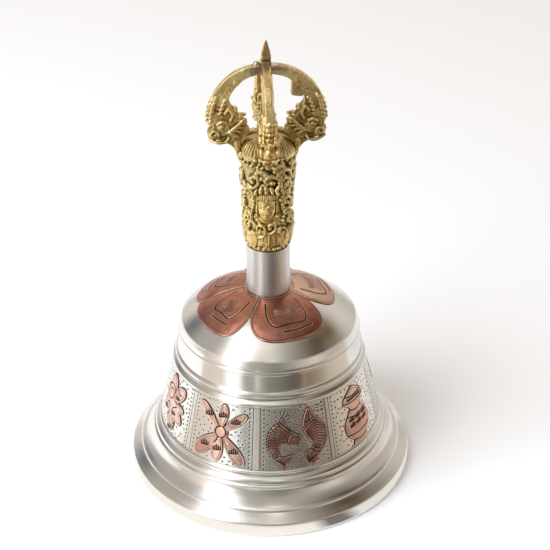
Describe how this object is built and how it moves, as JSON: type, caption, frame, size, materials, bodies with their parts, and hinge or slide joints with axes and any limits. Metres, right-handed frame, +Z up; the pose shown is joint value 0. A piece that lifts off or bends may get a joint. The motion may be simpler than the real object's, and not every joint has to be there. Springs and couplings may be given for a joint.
{
  "type": "hand bell",
  "caption": "Turned white-metal hand bell with copper petal and symbol inlays, a cast brass handle with a pronged crown, and an iron clapper hung inside.",
  "frame": {"origin": "centre of the rim's base, on the plane the bell stands on", "axes": "+Z up the bell's axis to the spike, -Y towards the side that the head on the handle faces, +X to the right seen from there"},
  "size_m": [0.095, 0.095, 0.1504],
  "materials": {
    "white_metal": "turned white metal, satin bright, fine rings from the lathe",
    "copper": "polished copper sheet with engraved lines, darkened in the cuts",
    "brass": "rough cast brass, brown-black patina in the hollows, bright on the edges",
    "iron": "plain dark iron, lightly worn"
  },
  "bodies": {
    "root": {"bell_shell": "white_metal", "petal_front_right": "copper", "petal_right_rear": "copper", "petal_back": "copper", "petal_rear_left": "copper", "petal_front_left": "copper", "motif_lotus": "copper", "motif_fish_left": "copper", "motif_fish_right": "copper", "motif_vase": "copper", "motif_wheel": "copper", "motif_parasol": "copper", "motif_endless_knot": "copper", "motif_banner": "copper", "motif_conch": "copper", "ferrule": "white_metal", "handle_grip": "brass", "prong_front": "brass", "prong_right": "brass", "prong_rear": "brass", "prong_left": "brass", "prong_centre": "brass", "eye_rod": "iron", "dome_washer": "iron", "rod_nut": "iron"},
    "ring": {"hanger_ring": "iron"},
    "clapper": {"clapper_shank": "iron", "clapper_bob": "iron"}
  },
  "joints": [
    {"name": "ring_swing", "type": "hinge", "parent": "root", "child": "ring", "pos_m": [0, 0, 0.0504], "axis": [1, 0, 0], "range_deg": [-42, 42]},
    {"name": "clapper_sway", "type": "hinge", "parent": "ring", "child": "clapper", "pos_m": [0, 0, 0.0442], "axis": [0, 1, 0], "range_deg": [-10, 10]}
  ]
}
